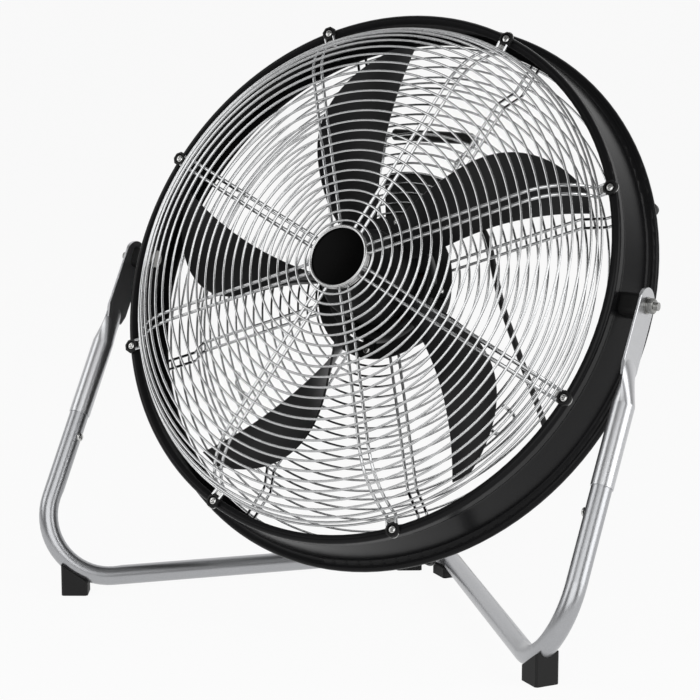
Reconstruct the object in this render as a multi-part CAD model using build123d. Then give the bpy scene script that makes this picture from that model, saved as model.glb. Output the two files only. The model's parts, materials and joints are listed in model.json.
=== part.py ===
from build123d import *
from math import asin, cos, degrees, hypot, radians, sin, tan
import os

# Floor-standing drum fan: a shallow steel drum with wire guards at both faces, tilting between
# the two legs of a tube stand that is a V in plan. Millimetres, +Z up, the fan faces -Y and the
# tilt axis runs along X.

# Fits
RUNNING_FIT = 0.05      # radial play of a shaft or bolt in its hole
SCREW_FIT = 0.25        # radial play of a screw in its hole
SEAT_GAP = 0.05         # between faces that are screwed together
WELD_GAP = 0.06         # between crossing wires, filled by the weld
SIDE_PLAY = 0.3         # between the tilting head and the leg tabs
TUBE_FIT = 0.15         # between a foot and the tube that it grips

# Drum: one rolled sheet, curled inwards at the front and outwards at the back
SHEET = 1.0
LIP_R = 271.2           # middle of the front curl
LIP_Z = 22.0            # front curl ahead of the tilt axis
LIP_ROLL = 4.25
BEAD_FLARE = 15.0       # how much wider the rear bead is than the lip
BEAD_ROLL = 4.0
DRUM_DEPTH = 59.0       # from the middle of the lip to the middle of the bead
VALLEY_INSET = 1.85     # groove behind the lip
VALLEY_BACK = 12.5
LIP_SKIRT = 7.0
COVE_STEP = 5.4         # forward-facing step ahead of the bead
SKIRT_BEND = 4.0
VALLEY_BEND = 6.0
COVE_BEND = 5.0

# Wire guards
RING_WIRE = 2.4
SPOKE_WIRE = 3.2
RING_PITCH = 10.5
SPOKE_PAIRS = 8
PAIR_SPACING = 9.5
SHOULDER_R = 65.0       # round edge of the front guard
SHOULDER_TURN = 69.7    # degrees of it, down to the outermost ring
SHOULDER_RINGS = 7
SHOULDER_FIRST = 6.2    # degrees down to the first ring on it
SHOULDER_STEP = 8.64    # degrees between the rings on it
EDGE_PAIR_STEP = 5.2    # degrees between the two outermost rings
EDGE_INSET = 12.2       # outermost ring inside the lip
EDGE_RISE = 1.9         # and ahead of it
FIRST_RING_R = 38.0
FRONT_SPOKE_R = 22.0    # inner end of the front spokes, under the badge
REAR_JOGGLE = 16.16     # inner disc of the rear guard ahead of its outer ring
JOGGLE_IN_R = 217.0
JOGGLE_OUT_R = 238.0
JOGGLE_BEND = 6.0
REAR_EDGE_INSET = 6.2   # outermost rear ring inside the bead
REAR_RINGS = 21
REAR_RING_START = 9.5   # first ring from the inner ends of the rear spokes

# Clamps that hold the guards to the drum
CLIP_WIDTH = 13.0
CLIP_HOOK = 1.6         # thickness of the hook over the outermost ring
CLIP_HOOK_REACH = 1.0   # of the hook past the middle of that ring
CLIP_ROUND = 0.8
CLIP_OVERHANG = 5.8     # beyond the middle of the front curl
REAR_CLIP_OVERHANG = 4.4
PLATE_THICK = 1.0       # steel plate under each front clamp
PLATE_WIDTH = 11.6
PLATE_OVERHANG = 8.2
CLIP_SCREW_R = 2.0
CLIP_HEAD_R = 4.0
CLIP_HEAD_H = 2.5
CLIP_SCREW_REACH = 6.0  # into the curl
CLIP_SIDE_GAP = 0.2     # between a rear clamp and the ends of the spokes
PAN_ROUND = 0.6         # of the height of a screw's head

# Badge in the middle of the front guard
BADGE_R = 32.5
BADGE_FACE_R = 29.2
BADGE_HEIGHT = 5.0
BADGE_ROUND = 1.4
BADGE_DOME = 1.2
BADGE_STUD_R = 8.0
BACKING_THICK = 2.0

# Motor and its mounting ring
MOTOR_R = 58.0
MOTOR_WALL = 2.5
MOTOR_ROUND = 2.0
MOTOR_FRONT_LENGTH = 25.0
MOTOR_REAR_LENGTH = 26.0
MOTOR_NOSE = 12.4       # front of the motor ahead of the mounting ring
MOUNT_GAP = 2.0
MOUNT_WIDTH = 16.0
MOUNT_THICK = 2.0
EAR_THICK = 3.0
EAR_WIDTH = 14.0
EARS = 4
VENTS = 12
VENT_WIDTH = 5.0
SHAFT_R = 5.0
SHAFT_CLEARANCE = 1.0
SHAFT_PROUD = 1.0       # beyond the hub nut
BEARING_R = 13.0
BEARING_WIDTH = 8.0
AIR_GAP = 0.5
ROTOR_R = 30.5
STACK_LENGTH = 24.0
WINDING_OVERHANG = 5.0
WINDING_ROUND = 2.0

# Blades
BLADES = 5
HUB_R = 46.0
HUB_LENGTH = 36.0
HUB_WALL = 3.0
HUB_ROUND = 6.0
HUB_BOSS_R = 11.0
HUB_GAP = 3.1           # between hub and motor
TIP_GAP = 21.4          # between blade tips and lip
BLADE_THICK = 2.2
BLADE_CAMBER = 0.07     # of the chord
LEAD_ROOT_ANGLE = 36.4  # leading edge, at the back
LEAD_TIP_ANGLE = 19.3
LEAD_ROOT_DROP = 44.7   # behind the hub's front face
LEAD_TIP_DROP = 12.7
TRAIL_ROOT_ANGLE = 54.2  # trailing edge, at the front
TRAIL_TIP_ANGLE = 24.0
TRAIL_ROUNDNESS = 3.74
TRAIL_ROOT_DROP = -21.2
TRAIL_TIP_DROP = 14.2
ROOT_MARGIN = 3.0       # blade root from the hub's ends
BLADE_SHARES = (0.25, 0.42, 0.57, 0.72, 0.84, 0.93, 1.0)  # sections between hub and tip
NUT_R = 9.0
NUT_HEIGHT = 6.0

# Switch box behind the guard, above the motor
BOX_TOP_R = 126.0
BOX_HALF_ANGLE = 16.2
BOX_DEPTH = 44.8
BOX_WALL = 2.2
BOX_ROUND = 5.0
COVER_THICK = 2.0
KNOB_R = 13.0
KNOB_HEIGHT = 14.0
KNOB_BAR_WIDTH = 6.5
KNOB_BAR_LENGTH = 23.4
KNOB_AT = 95.0          # up from the motor axis
KNOB_STEM_R = 3.0
SWITCH_SIZE = 24.0
SWITCH_DEPTH = 16.0
CAPACITOR_WIDTH = 28.0
CAPACITOR_HEIGHT = 13.0
CAPACITOR_DEPTH = 26.0
CAPACITOR_GAP = 2.0     # to the floor of the box

# Carrying handle and cord hooks, bent from wire and welded to the rear guard
HANDLE_WIRE = 5.0
HANDLE_HEIGHT = 172.0   # grip above the motor axis
HANDLE_BACK = 15.4      # grip behind the feet of the handle
HANDLE_HALF = 57.0
HANDLE_FOOT_X = 44.0
HANDLE_FOOT_Y = 118.0
HANDLE_KNEE_Y = 140.0
HANDLE_BEND = 7.0
GRIP_OD = 12.0
HOOK_WIRE = 4.0
HOOK_ANGLE = -37.6      # degrees below the horizontal
HOOK_RING = 11          # which ring of the rear guard carries them
HOOK_WIDTH = 26.0
HOOK_REACH = 19.0
HOOK_FLARE = 11.0
HOOK_BEND = 5.0

# Stand
PIVOT_HEIGHT = 330.6
TILT = 25.6             # degrees that the fan looks up at rest
LEG_LEAN = 31.5         # degrees, feet ahead of the pivot
LEG_OD = 22.0
LEG_BORE_R = 6.5
LEG_SIDE_GAP = 0.8      # between the rear bead and the legs
LEG_LENGTH = 181.6      # pivot to the joint with the base tube
SPIGOT_LENGTH = 45.0
TAB_THICK = 3.2
TAB_WIDTH = 34.0
TAB_INSET = 4.0         # tab inside the middle of the leg
TAB_LENGTH = 60.0
TAB_TAPER = 40.0        # from the pressed tab to the round tube
TAB_MOUTH = 32.0        # width of the tube where it opens inside the tab
TAB_MOUTH_GAP = 1.0
TAB_MOUTH_RISE = 7.0    # and how far up that is
TAB_TONGUE = 14.0       # pressed edges beyond the middle of the tab's end
TAB_TONGUE_WIDTH = 24.0
TUBE_OD = 20.0
TUBE_WALL = 1.5
TUBE_LIFT = 6.7         # base tube above the floor
FRONT_BEND = 62.0
REAR_BEND = 45.0
REAR_CORNER_Y = 145.0   # corner of the V behind the pivot
BEND_FLAT = 1.0         # flattening on the inside of each bend
LEG_SCREW_R = 2.5
LEG_SCREW_HEAD_R = 4.5
LEG_SCREW_HEAD_H = 2.5
LEG_SCREW_DROP = 25.0   # below the joint
FOOT_LENGTH = 27.0
FOOT_WIDTH = 25.0
FOOT_DROP = 6.0         # top of a foot below the middle of the tube
FOOT_CHAMFER = 2.0
FRONT_FOOT_TURN = 38.3  # degrees up the front bend
REAR_FOOT_TURN = 15.0   # degrees into the rear bend

# Pivots
BOLT_R = 4.0
BOLT_HEAD_R = 9.0
BOLT_HEAD_H = 5.0
BLOCK_TALL = 21.5
BLOCK_LENGTH = 24.0
BLOCK_BACK = 5.0        # middle of the block behind the bolt
BLOCK_ROUND = 5.0
BLOCK_SADDLE = 10.0     # depth left for the drum's curve
WASHER_R = 8.2
WASHER_THICK = 1.2
LOCK_WASHER_R = 6.8
LOCK_WASHER_THICK = 1.6
PIVOT_NUT_R = 7.5
PIVOT_NUT_HEIGHT = 5.0
BOLT_PROUD = 4.0

# Mains cord: its route from the switch box down to the floor behind the fan, then a tied coil
CORD_OD = 6.8
BEND_SHARE = 0.45       # of the shorter run at a corner, taken by its arc
RELIEF_LENGTH = 21.5
RELIEF_R = 7.0
RELIEF_TIP_R = 4.6
RELIEF_CORE_R = 4.0     # between the ribs
RELIEF_AT_R = 104.1     # up the side of the switch box
RELIEF_FROM_BACK = 21.9
RELIEF_STUB_R = 5.0     # through the wall of the box
RELIEF_RIBS = 5
CORD_ROUTE = [
    (49.83, 89.29, 391.98),
    (62.6, 87.7, 388.6),
    (75.2, 87.4, 379.0),
    (83.0, 89.0, 365.2),
    (86.4, 94.0, 337.0),
    (91.0, 102.5, 299.0),
    (99.0, 115.0, 262.0),
    (106.5, 132.0, 220.0),
    (111.5, 156.0, 176.0),
    (109.5, 187.0, 134.0),
    (96.5, 219.0, 98.0),
    (75.0, 246.5, 69.0),
    (49.0, 262.0, 46.0),
    (24.0, 265.0, 28.5),
    (3.0, 256.5, 15.5),
    (-8.6, 239.5, 7.6),
    (-10.9, 219.5, 5.0),
    (-10.9, 203.0, 5.0),
]
COIL_R = 43.1           # outermost turn
COIL_PITCH = 7.3
COIL_HALF_TURNS = 5     # inwards on the floor, and as many outwards on top
COIL_CLIMB_INSET = 1.2  # the turn that climbs lies this much further in
COIL_EXIT_R = 45.0
COIL_EXIT_TURN = 45.0
COIL_EXIT_RUN = 32.0
TIE_WIDTH = 10.0
TIE_THICK = 1.0
TIE_PLAY = 0.3
PLUG_WIDTH = 26.0
PLUG_LENGTH = 24.0
PLUG_NECK = 12.0
PLUG_NECK_R = 5.6
PLUG_ROUND = 4.0
PLUG_FLOOR_GAP = 0.3
PIN_WIDTH = 6.35
PIN_THICK = 1.5
PIN_LENGTH = 17.0
PIN_SPACING = 12.7
EARTH_PIN_R = 2.4
EARTH_PIN_DROP = 7.5
PIN_RISE = 2.0

# Places that follow from the driving dimensions, in the head's own frame: X along the tilt axis,
# Y up in the plane of the drum's mouth, Z forwards along the motor axis
ring_r = RING_WIRE / 2
spoke_r = SPOKE_WIRE / 2
wire_step = ring_r + spoke_r + WELD_GAP
bead_r = LIP_R + BEAD_FLARE
bead_z = LIP_Z - DRUM_DEPTH
bead_outer_r = bead_r + BEAD_ROLL + SHEET / 2
lip_front_z = LIP_Z + LIP_ROLL + SHEET / 2
bead_back_z = bead_z - BEAD_ROLL - SHEET / 2
edge_r = LIP_R - EDGE_INSET
edge_z = lip_front_z + EDGE_RISE
shoulder_r = edge_r - SHOULDER_R * sin(radians(SHOULDER_TURN))
shoulder_z = edge_z - SHOULDER_R * cos(radians(SHOULDER_TURN))
front_z = shoulder_z + SHOULDER_R
front_spoke_z = front_z - wire_step
rear_edge_z = bead_back_z - SEAT_GAP - spoke_r
rear_disc_z = rear_edge_z + REAR_JOGGLE
rear_ring_z = rear_disc_z - wire_step
rear_face_z = rear_ring_z - ring_r
rear_edge_r = bead_r - REAR_EDGE_INSET
mount_back_z = rear_disc_z + spoke_r + SEAT_GAP
mount_front_z = mount_back_z + MOUNT_THICK
mount_in_r = MOTOR_R + MOUNT_GAP
mount_out_r = mount_in_r + MOUNT_WIDTH
motor_front_z = mount_front_z + MOTOR_NOSE
motor_split_z = motor_front_z - MOTOR_FRONT_LENGTH
motor_back_z = motor_split_z - MOTOR_REAR_LENGTH
stack_mid_z = motor_split_z + (MOTOR_FRONT_LENGTH - MOTOR_REAR_LENGTH) / 2
front_bearing_z = motor_front_z - MOTOR_WALL - BEARING_WIDTH
rear_bearing_z = motor_back_z + MOTOR_WALL
hub_back_z = motor_front_z + HUB_GAP
hub_front_z = hub_back_z + HUB_LENGTH
tip_r = LIP_R - LIP_ROLL - SHEET / 2 - TIP_GAP
box_front_z = rear_face_z - SEAT_GAP
box_back_z = box_front_z - BOX_DEPTH
box_low_r = MOTOR_R + SIDE_PLAY
leg_x = bead_outer_r + LEG_SIDE_GAP + LEG_OD / 2
tab_x = leg_x - TAB_INSET
tab_in_x = tab_x - TAB_THICK / 2
tab_out_x = tab_x + TAB_THICK / 2
tube_r = TUBE_OD / 2
tube_z = TUBE_LIFT + tube_r
leg_down = Vector(0, -sin(radians(LEG_LEAN)), -cos(radians(LEG_LEAN)))
leg_run = (PIVOT_HEIGHT - tube_z) / cos(radians(LEG_LEAN))
spoke_angles = [(k + 0.5) * 360 / SPOKE_PAIRS for k in range(SPOKE_PAIRS)]

HEAD = Plane(
    origin=(0, 0, PIVOT_HEIGHT),
    x_dir=(1, 0, 0),
    z_dir=(0, -cos(radians(TILT)), sin(radians(TILT))),
)


def turned(*points):
    """A solid turned about Z from the corners of its half section, each (radius, height)."""
    return revolve(Plane.XZ * make_face(Polyline(*points, close=True)), Axis.Z)


def disc(radius, low, high, bore=0):
    section = Circle(radius)
    if bore:
        section -= Circle(bore)
    return extrude(Plane.XY.offset(low) * section, high - low)


def wire_along(path, radius):
    return sweep(Plane(origin=path @ 0, z_dir=path % 0) * Circle(radius), path)


def around(piece, angles):
    return [Rot(0, 0, angle) * piece for angle in angles]


def rims(piece, radius):
    """The piece's circular edges of one radius, from low to high."""
    circles = piece.edges().filter_by(GeomType.CIRCLE)
    return circles.filter_by(lambda edge: abs(edge.radius - radius) < SEAT_GAP).sort_by(Axis.Z)


def both_sides(piece):
    return [piece, mirror(piece, Plane.YZ)]


def group(pieces):
    return Compound(children=[solid for piece in pieces for solid in piece.solids()])


# Drum
def drum_line():
    """The sheet's middle line, from inside the front curl to inside the rear bead."""
    lip_out = LIP_R + LIP_ROLL
    cove_z = bead_z + BEAD_ROLL
    lip = CenterArc((LIP_R, LIP_Z), LIP_ROLL, 270, -270)
    wall = FilletPolyline(
        (lip_out, LIP_Z),
        (lip_out, LIP_Z - LIP_SKIRT),
        (lip_out - VALLEY_INSET, LIP_Z - VALLEY_BACK),
        (bead_r - COVE_STEP, cove_z),
        (bead_r, cove_z),
        radius=[SKIRT_BEND, VALLEY_BEND, COVE_BEND],
    )
    bead = CenterArc((bead_r, bead_z), BEAD_ROLL, 90, -270)
    return lip, wall, bead


def cone_r(z, offset):
    """Radius of the drum's wall at z, on the face that lies offset from its middle line."""
    top_r, top_z = LIP_R + LIP_ROLL - VALLEY_INSET, LIP_Z - VALLEY_BACK
    low_r, low_z = bead_r - COVE_STEP, bead_z + BEAD_ROLL
    slope = (low_r - top_r) / (low_z - top_z)
    return top_r + slope * (z - top_z) + offset * hypot(1, slope)


def cone_core(offset, low, high):
    return turned((0, low), (cone_r(low, offset), low), (cone_r(high, offset), high), (0, high))


def drum():
    lip, wall, bead = drum_line()
    section = trace([lip, wall, bead], SHEET)
    shell = revolve(Plane.XZ * section, Axis.Z)
    pivot_hole = Rot(0, 90, 0) * Cylinder(BOLT_R + RUNNING_FIT, 2 * leg_x)
    shell -= pivot_hole
    screw_hole = Cylinder(CLIP_SCREW_R + SCREW_FIT, LIP_ROLL + SHEET)
    front = Pos(LIP_R, 0, lip_front_z) * screw_hole
    rear = Pos(bead_r, 0, bead_back_z) * screw_hole
    shell -= around(front, spoke_angles) + around(rear, spoke_angles)
    return shell


# Guards: rings welded across pairs of spokes
def spoke_pairs(path, radius):
    spoke = wire_along(path, radius)
    pair = [Pos(0, side * PAIR_SPACING / 2, 0) * spoke for side in (-1, 1)]
    return [turned_spoke for one in pair for turned_spoke in around(one, spoke_angles)]


def rings(places):
    return [Pos(0, 0, z) * Torus(r, ring_r) for r, z in places]


def front_guard():
    """The spokes, with the rings that run round the bent edge."""
    inner_bend = SHOULDER_R - wire_step
    run = Plane.XZ * Line((FRONT_SPOKE_R, front_spoke_z), (shoulder_r, front_spoke_z))
    bend = Plane.XZ * CenterArc((shoulder_r, shoulder_z), inner_bend, 90, -SHOULDER_TURN)
    spokes = spoke_pairs(Wire([run.edge(), bend.edge()]), spoke_r)
    turns = [SHOULDER_FIRST + k * SHOULDER_STEP for k in range(SHOULDER_RINGS)]
    turns += [SHOULDER_TURN - EDGE_PAIR_STEP, SHOULDER_TURN]
    places = []
    for turn in map(radians, turns):
        places.append((shoulder_r + SHOULDER_R * sin(turn), shoulder_z + SHOULDER_R * cos(turn)))
    return group(spokes + rings(places))


def front_guard_rings():
    """The rings on the flat face."""
    count = int((shoulder_r - FIRST_RING_R) / RING_PITCH) + 1
    return group(rings([(FIRST_RING_R + k * RING_PITCH, front_z) for k in range(count)]))


def rear_spoke_path():
    return FilletPolyline(
        (mount_in_r + MOUNT_GAP, rear_disc_z),
        (JOGGLE_IN_R, rear_disc_z),
        (JOGGLE_OUT_R, rear_edge_z),
        (rear_edge_r + spoke_r, rear_edge_z),
        radius=JOGGLE_BEND,
    )


def rear_ring_places():
    """(radius, height) of each rear ring, evenly spaced along the backs of the spokes."""
    path = rear_spoke_path()
    last = path.length - spoke_r
    places = []
    for k in range(REAR_RINGS):
        along = REAR_RING_START + (last - REAR_RING_START) * k / (REAR_RINGS - 1)
        place = path @ (along / path.length)
        heading = path % (along / path.length)
        places.append((place.X + heading.Y * wire_step, place.Y - heading.X * wire_step))
    return places


def rear_guard():
    return group(spoke_pairs(Plane.XZ * rear_spoke_path(), spoke_r))


def rear_guard_rings():
    """The rings on the flat disc inside the joggle."""
    return group(rings([place for place in rear_ring_places() if place[0] <= JOGGLE_IN_R]))


def rear_guard_edge():
    """The rings on the joggle and outside it."""
    return group(rings([place for place in rear_ring_places() if place[0] > JOGGLE_IN_R]))


# Clamps and their screws
def clip(base_z, ring_place, notch_r, curl_r, overhang, facing):
    """One clamp: it stands on the curl and hooks over the outermost ring on the facing side."""
    hook_r, ring_z = ring_place
    under_hook = ring_z + facing * (ring_r + SEAT_GAP)
    top_z = under_hook + facing * CLIP_HOOK
    inner_r = hook_r - CLIP_HOOK_REACH
    outer_r = curl_r + overhang
    section = Polyline(
        (inner_r, top_z),
        (outer_r, top_z),
        (outer_r, base_z),
        (notch_r, base_z),
        (notch_r, under_hook),
        (inner_r, under_hook),
        close=True,
    )
    block = extrude(Plane.XZ * make_face(section), CLIP_WIDTH / 2, both=True)
    half = CLIP_WIDTH / 2
    plan = Pos((inner_r + outer_r - half) / 2, 0) * Rectangle(outer_r - half - inner_r, CLIP_WIDTH)
    plan += Pos(outer_r - half, 0) * Circle(half)
    block &= extrude(Plane.XY.offset(min(base_z, top_z)) * plan, abs(top_z - base_z))
    top = block.faces().sort_by(Axis.Z)[-1 if facing > 0 else 0]
    block = fillet(top.edges(), CLIP_ROUND)
    hole = Cylinder(CLIP_SCREW_R + SCREW_FIT, 4 * abs(top_z - base_z))
    return block - Pos(curl_r, 0, base_z) * hole, top_z


def pan_screw(radius, head_r, head_h, reach):
    """A pan-head screw on Z, its head above the origin and its shank below."""
    head = fillet(disc(head_r, 0, head_h).edges().sort_by(Axis.Z)[-1], PAN_ROUND * head_h)
    return head + disc(radius, -reach, 0)


plate_z = lip_front_z + SEAT_GAP
front_notch_r = edge_r + ring_r + SEAT_GAP


def front_clip():
    base_z = plate_z + PLATE_THICK + SEAT_GAP
    return clip(base_z, (edge_r, edge_z), front_notch_r, LIP_R, CLIP_OVERHANG, 1)


def rear_clip():
    return clip(
        bead_back_z - SEAT_GAP,
        rear_ring_places()[-1],
        rear_edge_r + spoke_r + CLIP_SIDE_GAP,
        bead_r,
        REAR_CLIP_OVERHANG,
        -1,
    )


def front_clips():
    return group(around(front_clip()[0], spoke_angles))


def front_clip_plates():
    """Under each front clamp a strip with a round end that shows beyond it."""
    end_r = LIP_R + PLATE_OVERHANG - PLATE_WIDTH / 2
    plan = Pos((front_notch_r + end_r) / 2, 0) * Rectangle(end_r - front_notch_r, PLATE_WIDTH)
    plan += Pos(end_r, 0) * Circle(PLATE_WIDTH / 2)
    plan -= Pos(LIP_R, 0) * Circle(CLIP_SCREW_R + SCREW_FIT)
    return group(around(extrude(Plane.XY.offset(plate_z) * plan, PLATE_THICK), spoke_angles))


def rear_clips():
    return group(around(rear_clip()[0], spoke_angles))


def front_clip_screws():
    top_z = front_clip()[1] + SEAT_GAP
    reach = top_z - lip_front_z + CLIP_SCREW_REACH
    screw = pan_screw(CLIP_SCREW_R, CLIP_HEAD_R, CLIP_HEAD_H, reach)
    return group(around(Pos(LIP_R, 0, top_z) * screw, spoke_angles))


def rear_clip_screws():
    top_z = rear_clip()[1] - SEAT_GAP
    reach = bead_back_z - top_z + CLIP_SCREW_REACH
    screw = Rot(180, 0, 0) * pan_screw(CLIP_SCREW_R, CLIP_HEAD_R, CLIP_HEAD_H, reach)
    return group(around(Pos(bead_r, 0, top_z) * screw, spoke_angles))


# Badge: a bare domed plate in a bright ring, studded through to a backing disc
badge_z = front_spoke_z + spoke_r + SEAT_GAP
backing_z = front_spoke_z - spoke_r - SEAT_GAP


def badge_ring():
    ring = disc(BADGE_R, badge_z, badge_z + BADGE_HEIGHT, BADGE_FACE_R + SEAT_GAP)
    return fillet(ring.edges().group_by(Axis.Z)[-1], BADGE_ROUND)


def badge_plate():
    rim_z = badge_z + BADGE_HEIGHT / 2
    dome_r = (BADGE_FACE_R**2 + BADGE_DOME**2) / (2 * BADGE_DOME)
    plate = disc(BADGE_FACE_R, badge_z, rim_z + BADGE_HEIGHT)
    plate &= Pos(0, 0, rim_z + BADGE_DOME - dome_r) * Sphere(dome_r)
    return plate + disc(BADGE_STUD_R, backing_z + SEAT_GAP, badge_z)


def badge_backing():
    return disc((BADGE_R + BADGE_FACE_R) / 2, backing_z - BACKING_THICK, backing_z)


# Motor
ear_angles = [k * 360 / EARS for k in range(EARS)]
ear_hole_r = (mount_in_r + mount_out_r) / 2
shell_in_r = MOTOR_R - MOTOR_WALL


def ear_holes():
    hole = Pos(ear_hole_r, 0, mount_front_z) * Cylinder(CLIP_SCREW_R + SCREW_FIT, MOUNT_WIDTH)
    return around(hole, ear_angles)


def motor_mount_ring():
    return disc(mount_out_r, mount_back_z, mount_front_z, mount_in_r) - ear_holes()


def motor_cup(face_z, split_z, shaft_hole_r):
    """Half of the motor's housing, with a bearing pocket inside and vents in its end face."""
    inward = 1 if split_z > face_z else -1
    wall_z = face_z + inward * MOTOR_WALL
    pocket_z = wall_z + inward * BEARING_WIDTH
    cup = turned(
        (shaft_hole_r, face_z),
        (MOTOR_R, face_z),
        (MOTOR_R, split_z),
        (shell_in_r, split_z),
        (shell_in_r, wall_z),
        (BEARING_R + MOTOR_WALL, wall_z),
        (BEARING_R + MOTOR_WALL, pocket_z),
        (BEARING_R + SEAT_GAP, pocket_z),
        (BEARING_R + SEAT_GAP, wall_z),
        (shaft_hole_r, wall_z),
    )
    cup = fillet(rims(cup, MOTOR_R)[0 if inward > 0 else -1], MOTOR_ROUND)
    vent_in = BEARING_R + 2 * MOTOR_WALL + VENT_WIDTH / 2
    vent_out = shell_in_r - MOTOR_WALL - VENT_WIDTH / 2
    vent = SlotCenterToCenter(vent_out - vent_in, VENT_WIDTH)
    cutter = Pos((vent_in + vent_out) / 2, 0, face_z) * extrude(vent, 2 * MOTOR_WALL, both=True)
    return cup - around(cutter, [(k + 0.5) * 360 / VENTS for k in range(VENTS)])


def motor_front_shell():
    shell = motor_cup(motor_front_z, motor_split_z, SHAFT_R + SHAFT_CLEARANCE)
    ear_in = MOTOR_R - MOTOR_WALL / 2
    ear_plan = Pos((ear_in + ear_hole_r) / 2, 0) * Rectangle(ear_hole_r - ear_in, EAR_WIDTH)
    ear_plan += Pos(ear_hole_r, 0) * Circle(EAR_WIDTH / 2)
    ear = extrude(Plane.XY.offset(mount_front_z + SEAT_GAP) * ear_plan, EAR_THICK)
    return shell + around(ear, ear_angles) - ear_holes()


def motor_rear_shell():
    return motor_cup(motor_back_z, motor_split_z - SEAT_GAP, SHAFT_R + SHAFT_CLEARANCE)


def motor_screws():
    seat_z = mount_front_z + EAR_THICK + 2 * SEAT_GAP
    reach = seat_z - mount_back_z + spoke_r
    screw = pan_screw(CLIP_SCREW_R, CLIP_HEAD_R, CLIP_HEAD_H, reach)
    return group(around(Pos(ear_hole_r, 0, seat_z) * screw, ear_angles))


def stator_core():
    half = STACK_LENGTH / 2
    return disc(shell_in_r - SEAT_GAP, stack_mid_z - half, stack_mid_z + half, ROTOR_R + AIR_GAP)


def stator_winding():
    """The end turns of the copper, a rounded ring against each face of the core."""
    start = STACK_LENGTH / 2 + SEAT_GAP
    in_r = ROTOR_R + AIR_GAP + MOTOR_WALL
    out_r = shell_in_r - 3 * MOTOR_WALL
    turns = disc(out_r, stack_mid_z + start, stack_mid_z + start + WINDING_OVERHANG, in_r)
    turns = fillet(turns.edges().group_by(Axis.Z)[-1], WINDING_ROUND)
    return group([turns, mirror(turns, Plane.XY.offset(stack_mid_z))])


def bearing(low):
    return disc(BEARING_R, low + SEAT_GAP, low + BEARING_WIDTH - SEAT_GAP, SHAFT_R + RUNNING_FIT)


# Turning parts
def blade_section(radius, lead_angle, trail_angle, lead_z, trail_z):
    """A thin bowed strip from the leading to the trailing edge, square to the blade's length."""
    lead = Vector(radius * cos(radians(lead_angle)), radius * sin(radians(lead_angle)), lead_z)
    trail = Vector(radius * cos(radians(trail_angle)), radius * sin(radians(trail_angle)), trail_z)
    middle = radians((lead_angle + trail_angle) / 2)
    outwards = Vector(cos(middle), sin(middle), 0)
    place = Plane(origin=(lead + trail) / 2, x_dir=trail - lead, z_dir=outwards)
    half = (trail - lead).length / 2
    bow = -2 * half * BLADE_CAMBER
    skin = BLADE_THICK / 2
    back = ThreePointArc((-half, skin), (0, bow + skin), (half, skin))
    front = ThreePointArc((half, -skin), (0, bow - skin), (-half, -skin))
    return place * make_face([back, Line(back @ 1, front @ 0), front, Line(front @ 1, back @ 0)])


def blade():
    root = blade_section(
        HUB_R - HUB_WALL / 2,
        LEAD_ROOT_ANGLE,
        TRAIL_ROOT_ANGLE,
        hub_back_z + ROOT_MARGIN,
        hub_front_z - HUB_ROUND - ROOT_MARGIN,
    )
    sections = [root]
    for share in BLADE_SHARES:
        sections.append(
            blade_section(
                HUB_R + share * (tip_r - HUB_R),
                LEAD_ROOT_ANGLE + share * (LEAD_TIP_ANGLE - LEAD_ROOT_ANGLE),
                TRAIL_ROOT_ANGLE + share**TRAIL_ROUNDNESS * (TRAIL_TIP_ANGLE - TRAIL_ROOT_ANGLE),
                hub_front_z - LEAD_ROOT_DROP - share * (LEAD_TIP_DROP - LEAD_ROOT_DROP),
                hub_front_z - TRAIL_ROOT_DROP - share * (TRAIL_TIP_DROP - TRAIL_ROOT_DROP),
            )
        )
    return loft(sections)


def blade_set():
    bore_r = SHAFT_R + RUNNING_FIT
    inner_r = HUB_R - HUB_WALL
    floor_z = hub_front_z - HUB_WALL
    hub = turned(
        (bore_r, hub_front_z),
        (HUB_R, hub_front_z),
        (HUB_R, hub_back_z),
        (inner_r, hub_back_z),
        (inner_r, floor_z),
        (HUB_BOSS_R, floor_z),
        (HUB_BOSS_R, hub_back_z),
        (bore_r, hub_back_z),
    )
    hub = fillet(rims(hub, HUB_R)[-1], HUB_ROUND)
    return hub + around(blade(), [k * 360 / BLADES for k in range(BLADES)])


def motor_shaft():
    return disc(SHAFT_R, rear_bearing_z, hub_front_z + NUT_HEIGHT + SHAFT_PROUD)


def rotor_core():
    half = STACK_LENGTH / 2
    return disc(ROTOR_R, stack_mid_z - half, stack_mid_z + half, SHAFT_R + RUNNING_FIT)


def hub_nut():
    nut = extrude(Plane.XY.offset(hub_front_z + SEAT_GAP) * RegularPolygon(NUT_R, 6), NUT_HEIGHT)
    return nut - disc(SHAFT_R + RUNNING_FIT, hub_front_z, hub_front_z + 2 * NUT_HEIGHT)


# Switch box
def box_plan():
    rise = 90 - BOX_HALF_ANGLE
    top = CenterArc((0, 0), BOX_TOP_R, rise, 2 * BOX_HALF_ANGLE)
    low = CenterArc((0, 0), box_low_r, 90 + BOX_HALF_ANGLE, -2 * BOX_HALF_ANGLE)
    plan = make_face([top, Line(top @ 1, low @ 0), low, Line(low @ 1, top @ 0)])
    return fillet(plan.vertices().group_by(Axis.Y)[-1], BOX_ROUND)


def relief_axis():
    """The gland's axis: square to the box's right-hand wall, from its outer face."""
    lean = radians(BOX_HALF_ANGLE)
    return Plane(
        origin=(RELIEF_AT_R * sin(lean), RELIEF_AT_R * cos(lean), box_back_z + RELIEF_FROM_BACK),
        x_dir=(0, 0, 1),
        z_dir=(cos(lean), -sin(lean), 0),
    )


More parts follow.
